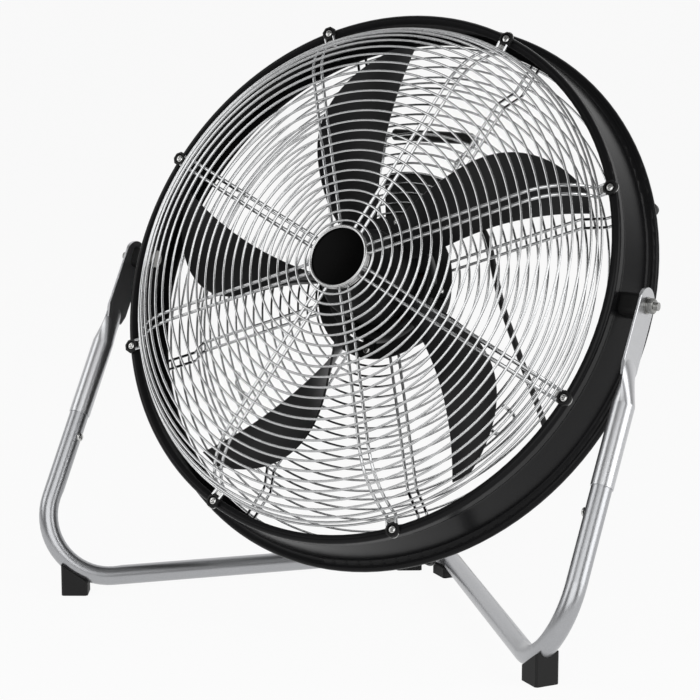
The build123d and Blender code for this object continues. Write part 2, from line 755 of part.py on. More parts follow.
def control_box():
    shell = extrude(Plane.XY.offset(box_back_z) * box_plan(), BOX_DEPTH)
    shell = fillet(shell.faces().sort_by(Axis.Z)[0].edges(), BOX_WALL)
    cavity = offset(box_plan(), -BOX_WALL)
    shell -= extrude(Plane.XY.offset(box_back_z + BOX_WALL) * cavity, BOX_DEPTH)
    shell -= Pos(0, KNOB_AT, box_back_z) * Cylinder(KNOB_STEM_R + RUNNING_FIT, 4 * BOX_WALL)
    return shell - relief_axis() * disc(RELIEF_STUB_R + SEAT_GAP, -2 * BOX_WALL, BOX_WALL)


def control_box_cover():
    plan = offset(box_plan(), -BOX_WALL - SEAT_GAP)
    return extrude(Plane.XY.offset(box_front_z - COVER_THICK) * plan, COVER_THICK)


inner_back_z = box_back_z + BOX_WALL + SEAT_GAP
stem_depth = SWITCH_DEPTH / 2


def speed_switch():
    body = Pos(0, KNOB_AT, inner_back_z + SWITCH_DEPTH / 2) * Box(SWITCH_SIZE, SWITCH_SIZE, SWITCH_DEPTH)
    body = chamfer(body.edges().filter_by(Axis.Z), SWITCH_SIZE / 8)
    bore = disc(KNOB_STEM_R + RUNNING_FIT, inner_back_z, inner_back_z + stem_depth + SIDE_PLAY)
    return body - Pos(0, KNOB_AT, 0) * bore


def capacitor():
    low_y = box_low_r + BOX_WALL + CAPACITOR_GAP
    middle = (0, low_y + CAPACITOR_HEIGHT / 2, inner_back_z + CAPACITOR_DEPTH / 2)
    body = Pos(*middle) * Box(CAPACITOR_WIDTH, CAPACITOR_HEIGHT, CAPACITOR_DEPTH)
    return fillet(body.edges().filter_by(Axis.Z), CAPACITOR_HEIGHT / 6)


def speed_knob():
    """A round knob with a pointer bar, on the stem that turns the switch."""
    back = box_back_z - SIDE_PLAY
    skirt = disc(KNOB_R, back - KNOB_HEIGHT / 2, back)
    skirt = chamfer(skirt.edges().group_by(Axis.Z)[0], KNOB_HEIGHT / 8)
    bar = Pos(0, 0, back - KNOB_HEIGHT * 3 / 4) * Box(KNOB_BAR_WIDTH, KNOB_BAR_LENGTH, KNOB_HEIGHT / 2)
    bar = fillet(bar.edges().filter_by(Axis.Z), KNOB_BAR_WIDTH / 3)
    stem = disc(KNOB_STEM_R, back, inner_back_z + stem_depth)
    return Pos(0, KNOB_AT, 0) * (skirt + bar + stem)


# Handle and cord hooks
handle_z = rear_face_z - HANDLE_WIRE / 2 - WELD_GAP


def handle_points():
    grip_z = handle_z - HANDLE_BACK
    right = [
        (HANDLE_HALF, HANDLE_HEIGHT, grip_z),
        (HANDLE_FOOT_X, HANDLE_KNEE_Y, handle_z),
        (HANDLE_FOOT_X, HANDLE_FOOT_Y, handle_z),
    ]
    return [(-x, y, z) for x, y, z in reversed(right)] + right


def handle_wire():
    return wire_along(FilletPolyline(*handle_points(), radius=HANDLE_BEND), HANDLE_WIRE / 2)


def handle_grip():
    corner, knee = (Vector(*p) for p in handle_points()[3:5])
    turn = 180 - (knee - corner).get_angle(Vector(-1, 0, 0))
    straight = HANDLE_HALF - HANDLE_BEND * tan(radians(turn / 2))
    grip = disc(GRIP_OD / 2, -straight, straight, HANDLE_WIRE / 2 + SEAT_GAP)
    grip = fillet(rims(grip, GRIP_OD / 2), GRIP_OD / 6)
    return Pos(0, corner.Y, corner.Z) * Rot(0, 90, 0) * grip


def cord_hooks():
    """Two open loops that the cord is wound on, standing on one ring of the rear guard."""
    ring_place, ring_z = rear_ring_places()[HOOK_RING]
    foot_z = ring_z - ring_r - WELD_GAP
    half = HOOK_WIDTH / 2
    foot_r = (ring_place**2 - half**2) ** 0.5
    right = [
        (foot_r + HOOK_FLARE, half, foot_z - HOOK_REACH),
        (foot_r, half, foot_z - HOOK_REACH / 2),
        (foot_r, half, foot_z),
    ]
    left = [(x, -y, z) for x, y, z in reversed(right)]
    loop = wire_along(FilletPolyline(*left, *right, radius=HOOK_BEND), HOOK_WIRE / 2)
    return group(both_sides(Rot(0, 0, HOOK_ANGLE) * loop))


# Stand
def on_leg(distance):
    return Vector(leg_x, 0, PIVOT_HEIGHT) + leg_down * distance


def tube_path():
    right = [on_leg(leg_run), on_leg(LEG_LENGTH)]
    left = [Vector(-p.X, p.Y, p.Z) for p in reversed(right)]
    rear = Vector(0, REAR_CORNER_Y, tube_z)
    return FilletPolyline(*left, rear, *right, radius=[FRONT_BEND, REAR_BEND, FRONT_BEND])


def base_tube():
    path = tube_path()
    start = Plane(origin=path @ 0, z_dir=path % 0)
    tube = sweep(start * (Circle(tube_r) - Circle(tube_r - TUBE_WALL)), path)
    for bend in path.edges().filter_by(GeomType.CIRCLE):
        middle = Plane(origin=bend.arc_center, z_dir=bend.normal())
        tube -= middle * Cylinder(bend.radius - tube_r + BEND_FLAT, TUBE_OD + SPIGOT_LENGTH)
    hole = Rot(0, 90, 0) * Cylinder(LEG_SCREW_R + SCREW_FIT, TUBE_OD)
    place = on_leg(LEG_LENGTH + LEG_SCREW_DROP)
    return tube - both_sides(Pos(place.X - tube_r, place.Y, place.Z) * hole)


def leg():
    """The right-hand leg: a tube flattened to a drilled tab on top and reduced to a spigot below."""
    slot = Pos(-TAB_INSET, 0) * SlotOverall(TAB_WIDTH, TAB_THICK, rotation=90)
    tongue_z = TAB_LENGTH + TAB_TONGUE
    tab = extrude(Plane.XY.offset(-TAB_WIDTH / 2) * slot, TAB_WIDTH / 2 + tongue_z)
    half = TAB_WIDTH / 2
    tip = TAB_TONGUE_WIDTH / 2
    outline = Polyline(
        (-half, 0), (half, 0), (half, TAB_LENGTH), (tip, tongue_z), (-tip, tongue_z), (-half, TAB_LENGTH),
        close=True,
    )
    tab &= extrude(Plane.YZ * (make_face(outline) + Circle(half)), TAB_WIDTH, both=True)
    tab -= Rot(0, 90, 0) * Cylinder(BOLT_R + RUNNING_FIT, TAB_WIDTH)
    swell_z = TAB_LENGTH + TAB_TAPER
    mouth_place = Pos(-TAB_INSET, 0, TAB_LENGTH - TAB_MOUTH_RISE)
    mouth = mouth_place * SlotOverall(TAB_MOUTH, TAB_MOUTH_GAP, rotation=90)
    swell = loft([mouth, Pos(0, 0, swell_z) * Circle(LEG_OD / 2)])
    spigot_r = tube_r - TUBE_WALL - RUNNING_FIT
    foot_z = LEG_LENGTH + SPIGOT_LENGTH
    body = tab + swell + disc(LEG_OD / 2, swell_z, LEG_LENGTH) + disc(spigot_r, LEG_LENGTH, foot_z)
    body -= disc(LEG_BORE_R, swell_z, foot_z + SPIGOT_LENGTH)
    hole = Rot(0, 90, 0) * Cylinder(LEG_SCREW_R + SCREW_FIT, TUBE_OD)
    body -= Pos(-tube_r, 0, LEG_LENGTH + LEG_SCREW_DROP) * hole
    return Plane(origin=on_leg(0), x_dir=(1, 0, 0), z_dir=leg_down) * body


def leg_screws():
    screw = pan_screw(LEG_SCREW_R, LEG_SCREW_HEAD_R, LEG_SCREW_HEAD_H, tube_r)
    place = on_leg(LEG_LENGTH + LEG_SCREW_DROP)
    head_x = place.X - tube_r - SEAT_GAP
    right = Pos(head_x, place.Y, place.Z) * Rot(0, -90, 0) * screw
    return group(both_sides(right))


def foot(place, uphill, slope):
    """A moulded block under the tube: its top follows the tube's slope and is hollowed to fit it."""
    half = FOOT_LENGTH / 2
    top = place.Z - FOOT_DROP
    rise = half * tan(radians(slope))
    side = Polyline((-half, 0), (half, 0), (half, top + rise), (-half, top - rise), close=True)
    plan = Plane(origin=(place.X, place.Y, 0), x_dir=uphill, z_dir=(0, 0, 1))
    upright = Plane(origin=plan.origin, x_dir=uphill, z_dir=plan.y_dir * -1)
    block = extrude(upright * make_face(side), FOOT_WIDTH / 2, both=True)
    block = chamfer(block.edges().filter_by(Axis.Z), FOOT_CHAMFER)
    return block - wire_along(tube_path(), tube_r + TUBE_FIT)


def foot_on(bend, turn, low_end):
    """A foot under a bend, so many degrees into it from the end that is low_end."""
    share = turn / degrees(bend.length / bend.radius)
    if (bend @ 0 - low_end).length > (bend @ 1 - low_end).length:
        share = 1 - share
    heading = bend % share
    uphill = heading if heading.Z > 0 else heading * -1
    return foot(bend @ share, Vector(uphill.X, uphill.Y, 0), degrees(asin(uphill.Z)))


def bends():
    return tube_path().edges().filter_by(GeomType.CIRCLE)


def front_foot():
    bend = bends().sort_by(Axis.X)[-1]
    return foot_on(bend, FRONT_FOOT_TURN, min(bend @ 0, bend @ 1, key=lambda p: p.Z))


def rear_foot():
    bend = bends().sort_by(Axis.Y)[-1]
    return foot_on(bend, REAR_FOOT_TURN, max(bend @ 0, bend @ 1, key=lambda p: p.X))


# Pivots, on the right-hand side of the head
def along_x(piece):
    return Rot(0, 90, 0) * piece


def pivot_block():
    low_x = cone_r(0, 0) - BLOCK_SADDLE
    high_x = tab_in_x - SIDE_PLAY
    block = Pos((low_x + high_x) / 2, 0, -BLOCK_BACK) * Box(high_x - low_x, BLOCK_TALL, BLOCK_LENGTH)
    block = fillet(block.edges().filter_by(Axis.X), BLOCK_ROUND)
    reach = BLOCK_LENGTH
    block -= cone_core(SHEET / 2 + SEAT_GAP, -reach, reach)
    return block - along_x(disc(BOLT_R + RUNNING_FIT, 0, 2 * leg_x))


washer_x = tab_out_x + 2 * SEAT_GAP
lock_washer_x = washer_x + WASHER_THICK
pivot_nut_x = lock_washer_x + LOCK_WASHER_THICK
bolt_end_x = pivot_nut_x + PIVOT_NUT_HEIGHT + BOLT_PROUD


def pivot_bolts():
    wall_x = cone_r(0, -SHEET / 2)
    head_x = wall_x - BOLT_HEAD_H
    head = along_x(disc(BOLT_HEAD_R, head_x, wall_x + BOLT_HEAD_H))
    head &= cone_core(-SHEET / 2 - SEAT_GAP, -2 * BOLT_HEAD_R, 2 * BOLT_HEAD_R)
    return group(both_sides(head + along_x(disc(BOLT_R, head_x, bolt_end_x))))


def pivot_ring(radius, low, thick):
    return group(both_sides(along_x(disc(radius, low, low + thick, BOLT_R + RUNNING_FIT))))


def pivot_nuts():
    nut = extrude(Plane.XY.offset(pivot_nut_x) * RegularPolygon(PIVOT_NUT_R, 6), PIVOT_NUT_HEIGHT)
    nut -= disc(BOLT_R + RUNNING_FIT, 0, bolt_end_x)
    return group(both_sides(along_x(nut)))


# Mains cord
def cord_relief():
    """A tapered, ribbed sleeve on the box's side wall, with a stub through the wall."""
    rib = RELIEF_LENGTH / (2 * RELIEF_RIBS)
    sleeve = disc(RELIEF_STUB_R, -BOX_WALL - SEAT_GAP, rib) + disc(RELIEF_CORE_R, 0, RELIEF_LENGTH)
    for k in range(RELIEF_RIBS):
        rib_r = RELIEF_R + (RELIEF_TIP_R - RELIEF_R) * k / (RELIEF_RIBS - 1)
        sleeve += disc(rib_r, 2 * k * rib + SEAT_GAP, (2 * k + 1) * rib)
    return relief_axis() * sleeve


def bend_radii(points):
    """The largest arc that each corner of a route has room for."""
    radii = []
    for a, b, c in zip(points, points[1:], points[2:]):
        before = Vector(*b) - Vector(*a)
        after = Vector(*c) - Vector(*b)
        half_turn = radians(before.get_angle(after)) / 2
        radii.append(BEND_SHARE * min(before.length, after.length) / tan(half_turn))
    return radii


def power_cord():
    radii = bend_radii(CORD_ROUTE)
    path = FilletPolyline(*CORD_ROUTE, radius=radii)
    print("cord radii", [round(r, 1) for r in radii], "length", round(path.length, 1))
    return wire_along(path, CORD_OD / 2)


coil_radii = [COIL_R - k * COIL_PITCH / 2 for k in range(COIL_HALF_TURNS + 1)]
coil_radii[-1] -= COIL_CLIMB_INSET


def coil_path():
    """Half circles spiral in on the floor, one climbs, and as many spiral out on top."""
    start = Vector(*CORD_ROUTE[-1])
    first = start - Vector(0, CORD_OD, 0)
    middle = first - Vector(COIL_R, 0, 0)
    ends = [(r, 0) for r in coil_radii] + [(r, COIL_PITCH) for r in reversed(coil_radii)]
    edges = [Line(start, first)]
    here = first
    side = 1
    for r, climb in ends[1:]:
        there = middle + Vector(-side * r, 0, climb)
        crown = (here + there) / 2 - Vector(0, side * (there - here).length / 2, 0)
        edges.append(ThreePointArc(here, crown, there))
        here = there
        side = -side
    turn = radians(COIL_EXIT_TURN)
    hinge = here + Vector(COIL_EXIT_R, 0, 0)
    halfway = hinge + Vector(-cos(turn / 2), sin(turn / 2), 0) * COIL_EXIT_R
    leaving = hinge + Vector(-cos(turn), sin(turn), 0) * COIL_EXIT_R
    edges.append(ThreePointArc(here, halfway, leaving))
    edges.append(Line(leaving, leaving + Vector(sin(turn), cos(turn), 0) * COIL_EXIT_RUN))
    return Wire(edges), middle


def cord_coil():
    path, _ = coil_path()
    count = int(2 * path.length / CORD_OD)
    points = [path @ (k / count) for k in range(count + 1)]
    skip = 8
    gaps = [
        (points[i] - points[j]).length
        for i in range(len(points))
        for j in range(i + skip, len(points))
    ]
    print("coil length", round(path.length, 1), "least gap", round(min(gaps) - CORD_OD, 2))
    return wire_along(path, CORD_OD / 2)


def cord_tie():
    """A band round the turns on the side nearest the fan."""
    _, middle = coil_path()
    inner_turn = (coil_radii[-2] + coil_radii[-1]) / 2 - CORD_OD / 2 - 2 * TIE_PLAY
    off_centre = (coil_radii[-2] - coil_radii[-1]) / 2
    near_r = (inner_turn**2 - (TIE_WIDTH / 2 + off_centre) ** 2) ** 0.5
    far_r = (coil_radii[0] + coil_radii[1]) / 2 + CORD_OD / 2 + TIE_PLAY
    deep = far_r - near_r
    tall = COIL_PITCH + CORD_OD + 2 * TIE_PLAY
    band = Rectangle(deep + 2 * TIE_THICK, tall + 2 * TIE_THICK)
    band = fillet(band.vertices(), 3 * TIE_THICK) - fillet(Rectangle(deep, tall).vertices(), 2 * TIE_THICK)
    place = Plane(
        origin=(middle.X, middle.Y - (near_r + far_r) / 2, middle.Z + COIL_PITCH / 2),
        x_dir=(0, 1, 0),
        z_dir=(1, 0, 0),
    )
    return extrude(place * band, TIE_WIDTH / 2, both=True)


def plug_plane():
    path, _ = coil_path()
    return Plane(origin=path @ 1, x_dir=Vector(0, 0, 1).cross(path % 1), z_dir=path % 1)


def plug():
    """A moulded plug: a tapered neck into a rounded body that lies on the floor."""
    half_height = plug_plane().origin.Z - PLUG_FLOOR_GAP
    body = Pos(0, 0, PLUG_NECK + PLUG_LENGTH / 2) * Box(PLUG_WIDTH, 2 * half_height, PLUG_LENGTH)
    body = fillet(body.edges().filter_by(Axis.Z), PLUG_ROUND)
    neck = Pos(0, 0, PLUG_NECK / 2) * Cone(PLUG_NECK_R, PLUG_WIDTH / 2 - PLUG_ROUND, PLUG_NECK)
    return plug_plane() * (neck + body)


def plug_pins():
    face_z = PLUG_NECK + PLUG_LENGTH
    blade_pin = Box(PIN_THICK, PIN_WIDTH, PIN_LENGTH)
    blade_pin = chamfer(blade_pin.edges().group_by(Axis.Z)[-1], PIN_THICK / 4)
    pins = [Pos(side * PIN_SPACING / 2, PIN_RISE, face_z + PIN_LENGTH / 2) * blade_pin for side in (-1, 1)]
    earth = Pos(0, -EARTH_PIN_DROP, 0) * disc(EARTH_PIN_R, face_z, face_z + PIN_LENGTH)
    return plug_plane() * group(pins + [earth])


# The pieces of the head are placed by its tilted frame
head_nodes = {
    "drum": drum(),
    "pivot_block_right": pivot_block(),
    "pivot_block_left": mirror(pivot_block(), Plane.YZ),
    "pivot_bolts": pivot_bolts(),
    "pivot_washers": pivot_ring(WASHER_R, washer_x, WASHER_THICK),
    "pivot_lock_washers": pivot_ring(LOCK_WASHER_R, lock_washer_x, LOCK_WASHER_THICK),
    "pivot_nuts": pivot_nuts(),
    "front_guard": front_guard(),
    "front_guard_rings": front_guard_rings(),
    "front_clips": front_clips(),
    "front_clip_plates": front_clip_plates(),
    "front_clip_screws": front_clip_screws(),
    "badge_ring": badge_ring(),
    "badge_plate": badge_plate(),
    "badge_backing": badge_backing(),
    "rear_guard": rear_guard(),
    "rear_guard_rings": rear_guard_rings(),
    "rear_guard_edge": rear_guard_edge(),
    "rear_clips": rear_clips(),
    "rear_clip_screws": rear_clip_screws(),
    "motor_mount_ring": motor_mount_ring(),
    "motor_front_shell": motor_front_shell(),
    "motor_rear_shell": motor_rear_shell(),
    "motor_screws": motor_screws(),
    "stator_core": stator_core(),
    "stator_winding": stator_winding(),
    "front_bearing": bearing(front_bearing_z),
    "rear_bearing": bearing(rear_bearing_z),
    "blade_set": blade_set(),
    "motor_shaft": motor_shaft(),
    "rotor_core": rotor_core(),
    "hub_nut": hub_nut(),
    "control_box": control_box(),
    "control_box_cover": control_box_cover(),
    "speed_switch": speed_switch(),
    "capacitor": capacitor(),
    "speed_knob": speed_knob(),
    "handle_wire": handle_wire(),
    "handle_grip": handle_grip(),
    "cord_hooks": cord_hooks(),
    "cord_relief": cord_relief(),
}
stand_nodes = {
    "base_tube": base_tube(),
    "leg_right": leg(),
    "leg_left": mirror(leg(), Plane.YZ),
    "leg_screws": leg_screws(),
    "foot_front_right": front_foot(),
    "foot_front_left": mirror(front_foot(), Plane.YZ),
    "foot_rear_right": rear_foot(),
    "foot_rear_left": mirror(rear_foot(), Plane.YZ),
}
cord_nodes = {
    "power_cord": power_cord(),
    "cord_coil": cord_coil(),
    "cord_tie": cord_tie(),
    "plug": plug(),
    "plug_pins": plug_pins(),
}

# The origin is on the floor, under the middle of the fan without its cord
body = {name: HEAD * piece for name, piece in head_nodes.items()} | stand_nodes
extent = Compound(children=[solid for piece in body.values() for solid in piece.solids()]).bounding_box()
to_origin = Pos(0, -(extent.min.Y + extent.max.Y) / 2, 0)
print("moved along Y by", round(to_origin.position.Y, 4))
os.makedirs("parts", exist_ok=True)
for name, piece in (body | cord_nodes).items():
    export_step(to_origin * piece, f"parts/{name}.step")
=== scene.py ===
import json
from math import cos, pi, radians, sin

import bmesh
import bpy
from mathutils import Matrix, Vector


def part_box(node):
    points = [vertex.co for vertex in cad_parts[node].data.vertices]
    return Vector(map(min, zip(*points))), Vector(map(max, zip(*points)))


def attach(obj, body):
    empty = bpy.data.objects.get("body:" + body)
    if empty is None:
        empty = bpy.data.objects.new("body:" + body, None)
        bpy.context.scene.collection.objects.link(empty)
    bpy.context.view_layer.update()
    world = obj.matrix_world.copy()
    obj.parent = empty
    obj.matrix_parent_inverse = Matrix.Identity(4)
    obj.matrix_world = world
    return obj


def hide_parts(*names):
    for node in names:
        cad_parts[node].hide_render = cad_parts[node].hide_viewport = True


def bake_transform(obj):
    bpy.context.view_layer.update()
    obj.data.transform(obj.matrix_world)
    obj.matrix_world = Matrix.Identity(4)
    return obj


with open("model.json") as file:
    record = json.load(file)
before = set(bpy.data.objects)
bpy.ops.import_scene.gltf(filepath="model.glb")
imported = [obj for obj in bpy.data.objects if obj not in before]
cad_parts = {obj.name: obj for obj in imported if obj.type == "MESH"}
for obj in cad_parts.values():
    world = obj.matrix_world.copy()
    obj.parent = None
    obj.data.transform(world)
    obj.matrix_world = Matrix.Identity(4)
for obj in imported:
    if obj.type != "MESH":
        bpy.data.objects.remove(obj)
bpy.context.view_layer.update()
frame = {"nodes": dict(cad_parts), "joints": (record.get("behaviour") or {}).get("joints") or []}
scene = bpy.context.scene


# Stand tubes
# The base is one steel tube, bent to a V in plan and up at both front corners, and the two legs
# plug into its ends. Both are sprayed with silver paint that carries fine metal flake.
class Tone:
    """One socket of a material's nodes, so that shader sums are written as plain arithmetic."""

    def __init__(self, tree, socket):
        self.tree = tree
        self.socket = socket

    def node(self, kind, inputs, settings=None, out=0):
        """The output of a new node, with its settings made before its sockets are filled."""
        made = self.tree.nodes.new("ShaderNode" + kind)
        for name, value in (settings or {}).items():
            setattr(made, name, value)
        for name, value in inputs.items():
            if isinstance(value, Tone):
                self.tree.links.new(value.socket, made.inputs[name])
            else:
                made.inputs[name].default_value = value
        return Tone(self.tree, made.outputs[out])

    def math(self, operation, first, second):
        return self.node("Math", {0: first, 1: second}, {"operation": operation})

    def __add__(self, other):
        return self.math("ADD", self, other)

    def __radd__(self, other):
        return self.math("ADD", other, self)

    def __sub__(self, other):
        return self.math("SUBTRACT", self, other)

    def __rsub__(self, other):
        return self.math("SUBTRACT", other, self)

    def __mul__(self, other):
        return self.math("MULTIPLY", self, other)

    def __rmul__(self, other):
        return self.math("MULTIPLY", other, self)

    def noise(self, scale, detail=2.0):
        return self.node("TexNoise", {"Vector": self, "Scale": scale, "Detail": detail})

    def between(self, dark, light):
        """A colour from dark to light as this value goes from 0 to 1."""
        mixed = {0: self, 6: (*dark, 1), 7: (*light, 1)}
        return self.node("Mix", mixed, {"data_type": "RGBA"}, out=2)

    def bump(self, depth, strength=1.0):
        return self.node("Bump", {"Height": self, "Distance": depth, "Strength": strength})


def new_finish(name):
    """A new material: itself, its shader, and the place on the object in metres."""
    material = bpy.data.materials.new(name)
    material.use_nodes = True
    tree = material.node_tree
    place = Tone(tree, tree.nodes.new("ShaderNodeTexCoord").outputs["Object"])
    return material, tree.nodes["Principled BSDF"], place


def fill(shader, sockets):
    for name, value in sockets.items():
        if isinstance(value, Tone):
            value.tree.links.new(value.socket, shader.inputs[name])
        else:
            shader.inputs[name].default_value = value


def dress(material, *nodes):
    for node in nodes:
        for slot in frame["nodes"][node].material_slots:
            slot.material = material


def silver_paint(name, dark, light):
    material, shader, place = new_finish(name)
    flake = place.node("TexVoronoi", {"Vector": place, "Scale": 2400.0}, out="Color")
    cloud = place.noise(14.0)
    fill(shader, {
        "Base Color": (0.7 * flake + 0.3 * cloud).between(dark, light),
        "Metallic": 0.9,
        "Roughness": 0.25 + 0.08 * cloud,
        "Normal": place.noise(1100.0).bump(0.00001),
    })
    return material


# One silver paint in two copies: the base tube's copy has darker tones as painted shade, and the
# legs' copy has lighter tones as painted light.
shaded_base_silver = silver_paint("shaded_base_silver", (0.34, 0.345, 0.355), (0.46, 0.465, 0.48))
lit_leg_silver = silver_paint("lit_leg_silver", (0.46, 0.465, 0.475), (0.60, 0.605, 0.62))
dress(shaded_base_silver, "base_tube")
dress(lit_leg_silver, "leg_left", "leg_right")


# Leg screws
# A pan-head self-tapping screw pins each leg's spigot in the base tube, from the inner side.
# Zinc-plated steel, with a pressed cross recess.
SHARP_EDGE = radians(35)


def add_piece(name, shape, material, body, slot, *nodes):
    """A finished mesh on the body that carries it, in place of its CAD nodes."""
    mesh = bpy.data.meshes.new(name)
    shape.to_mesh(mesh)
    shape.free()
    mesh.shade_smooth()
    mesh.set_sharp_from_angle(angle=SHARP_EDGE)
    mesh.materials.append(material)
    piece = bpy.data.objects.new(name, mesh)
    scene.collection.objects.link(piece)
    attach(piece, body)
    if nodes:
        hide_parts(*nodes)


def lathe(profile, steps):
    """A closed shape turned about Z from points (radius, height), on a line that meets the axis
    at both ends or runs back to its start."""
    shape = bmesh.new()
    verts = [shape.verts.new((r, 0, z)) for r, z in profile]
    edges = [shape.edges.new(pair) for pair in zip(verts, verts[1:])]
    bmesh.ops.spin(
        shape, geom=verts + edges, cent=(0, 0, 0), axis=(0, 0, 1), dvec=(0, 0, 0),
        angle=2 * pi, steps=steps, use_merge=True,
    )
    bmesh.ops.remove_doubles(shape, verts=shape.verts, dist=1e-6)
    bmesh.ops.recalc_face_normals(shape, faces=shape.faces)
    return shape


def made_mesh(item):
    """The mesh that an object comes to with its modifiers, or that a text or a curve becomes."""
    graph = bpy.context.evaluated_depsgraph_get()
    return bpy.data.meshes.new_from_object(item.evaluated_get(graph))


def carve(shape, tool, operation):
    """One closed shape cut by another, or kept only where both are."""
    parts = []
    for cutter in (shape, tool):
        mesh = bpy.data.meshes.new("carving")
        cutter.to_mesh(mesh)
        cutter.free()
        parts.append(bpy.data.objects.new("carving", mesh))
        scene.collection.objects.link(parts[-1])
    cut = parts[0].modifiers.new("cut", "BOOLEAN")
    cut.operation = operation
    cut.object = parts[1]
    carved = bmesh.new()
    carved.from_mesh(made_mesh(parts[0]))
    for part in parts:
        bpy.data.objects.remove(part)
    return carved


def pan_head(radius, height):
    """A screw's head with its cross recess, on Z, with its seat at the origin."""
    flat, rounded = 0.35, 0.65
    arm_size = (1.25 * radius, 0.3 * radius, 1.2 * height)
    arm_taper = (0.55, 0.8, 1)
    turns = [radians(15 * k) for k in range(7)]
    dome = [
        (radius * (flat + rounded * cos(t)), height * (flat + rounded * sin(t))) for t in turns
    ]
    head = lathe([(0, 0), (radius, 0)] + dome + [(0, height)], steps=32)
    for turn in (0, pi / 2):
        arm = bmesh.new()
        box = bmesh.ops.create_cube(arm, size=1)["verts"]
        bmesh.ops.scale(arm, verts=box, vec=arm_size)
        bmesh.ops.scale(arm, verts=[v for v in box if v.co.z < 0], vec=arm_taper)
        bmesh.ops.rotate(arm, verts=box, cent=(0, 0, 0), matrix=Matrix.Rotation(turn, 3, "Z"))
        bmesh.ops.translate(arm, verts=box, vec=(0, 0, height))
        head = carve(head, arm, "DIFFERENCE")
    return head


def repeat(shape, places):
    """Copies of one shape, each moved by a matrix, as a single mesh."""
    template = bpy.data.meshes.new("template")
    shape.to_mesh(template)
    shape.free()
    whole = bmesh.new()
    for matrix in places:
        start = len(whole.verts)
        whole.from_mesh(template)
        whole.verts.ensure_lookup_table()
        bmesh.ops.transform(whole, matrix=matrix, verts=whole.verts[start:])
    bpy.data.meshes.remove(template)
    return whole


def facing(place, axis):
    """A matrix that takes the origin to place and Z to axis."""
    turn = Vector(axis).to_track_quat("Z", "Y").to_matrix().to_4x4()
    return Matrix.Translation(place) @ turn


def zinc_plate(name, dark, light):
    material, shader, place = new_finish(name)
    bloom = place.noise(900.0)
    fill(shader, {
        "Base Color": bloom.between(dark, light),
        "Metallic": 1.0,
        "Roughness": 0.14 + 0.14 * bloom,
        "Normal": place.noise(3000.0).bump(0.00002),
    })
    return material


zinc = zinc_plate("zinc_plate", (0.46, 0.46, 0.45), (0.64, 0.64, 0.63))
LEG_X = 0.30250
LEG_SCREW_SEAT = 0.01005
LEG_SCREW_HEAD = (0.0045, 0.0025)
leg_screw_low, leg_screw_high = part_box("leg_screws")
screw_middle = (leg_screw_low + leg_screw_high) / 2
leg_places = []
for side in (-1, 1):
    seat = Vector((side * (LEG_X - LEG_SCREW_SEAT), screw_middle.y, screw_middle.z))
    leg_places.append(facing(seat, (-side, 0, 0)))
leg_heads = repeat(pan_head(*LEG_SCREW_HEAD), leg_places)
add_piece("leg_screw_heads", leg_heads, zinc, "stand", "bright_steel", "leg_screws")


# Feet
# Four moulded blocks of black rubbery plastic grip the underside of the base tube.
# Spark-eroded tooling gives them a fine dull grain.
def moulded(name, dark, light, roughness, grain):
    """Moulded plastic: a dull grain of small pits, and a faint cloudiness in its sheen."""
    material, shader, place = new_finish(name)
    pits = place.node("TexVoronoi", {"Vector": place, "Scale": grain})
    cloud = place.noise(25.0)
    fill(shader, {
        "Base Color": cloud.between(dark, light),
        "Roughness": roughness + 0.12 * cloud,
        "Specular IOR Level": 0.2,
        "Normal": (pits + 0.6 * place.noise(2 * grain)).bump(0.00006, 0.6),
    })
    return material


foot_rubber = moulded("foot_rubber", (0.014, 0.014, 0.014), (0.021, 0.021, 0.021), 0.55, 1500.0)
dress(foot_rubber, "foot_front_left", "foot_front_right", "foot_rear_left", "foot_rear_right")


# Pivots
# The drum hangs on two bolts. A plastic block fills the space between drum and leg tab, and
# outside the tab come a washer, a split spring washer and a hex nut, all zinc plated.
block_black = moulded("block_plastic", (0.005, 0.005, 0.005), (0.008, 0.008, 0.008), 0.42, 1800.0)
dress(block_black, "pivot_block_left", "pivot_block_right")
dull_zinc = zinc_plate("dull_zinc", (0.20, 0.20, 0.19), (0.36, 0.36, 0.35))
dress(dull_zinc, "pivot_washers")
threaded, shader, place = new_finish("zinc_thread")
THREAD_PITCH = 0.00125
across = place.node("SeparateXYZ", {0: place})
ridge = across.node("Math", {0: across * (1 / THREAD_PITCH)}, {"operation": "PINGPONG"})
# Along the thread the colour runs from dark in the roots to light on the crests, which is painted
# shade in the thread's grooves.
fill(shader, {
    "Base Color": ridge.between((0.20, 0.20, 0.19), (0.60, 0.60, 0.59)),
    "Metallic": 1.0,
    "Roughness": 0.32 - 0.1 * ridge,
    "Normal": ridge.bump(0.0006),
})
dress(threaded, "pivot_bolts")


def hex_nut(radius, height):
    """A nut on Z from the origin, its corners chamfered on both faces."""
    nut = bmesh.new()
    bmesh.ops.create_cone(
        nut, cap_ends=True, segments=6, radius1=radius, radius2=radius, depth=height,
    )
    bmesh.ops.translate(nut, verts=nut.verts, vec=(0, 0, height / 2))
    inner = 0.88 * radius
    slope = 0.08 * radius
    barrel_line = [
        (0, 0), (inner, 0), (radius, slope), (radius, height - slope), (inner, height), (0, height),
    ]
    return carve(nut, lathe(barrel_line, steps=48), "INTERSECT")


NUT_R = 0.0075
joints = {joint["name"]: joint for joint in frame["joints"]}
pivot = Vector(joints["head_tilt"]["pos_m"])


def on_both_pivots(x):
    """The places at one distance out on both bolts, with Z outwards."""
    return [facing((side * x, pivot.y, pivot.z), (side, 0, 0)) for side in (-1, 1)]


nut_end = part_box("pivot_nuts")[1].x
nut_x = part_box("pivot_lock_washers")[1].x
nuts = repeat(hex_nut(NUT_R, nut_end - nut_x), on_both_pivots(nut_x))
add_piece("pivot_hex_nuts", nuts, dull_zinc, "head", "bright_steel", "pivot_nuts")


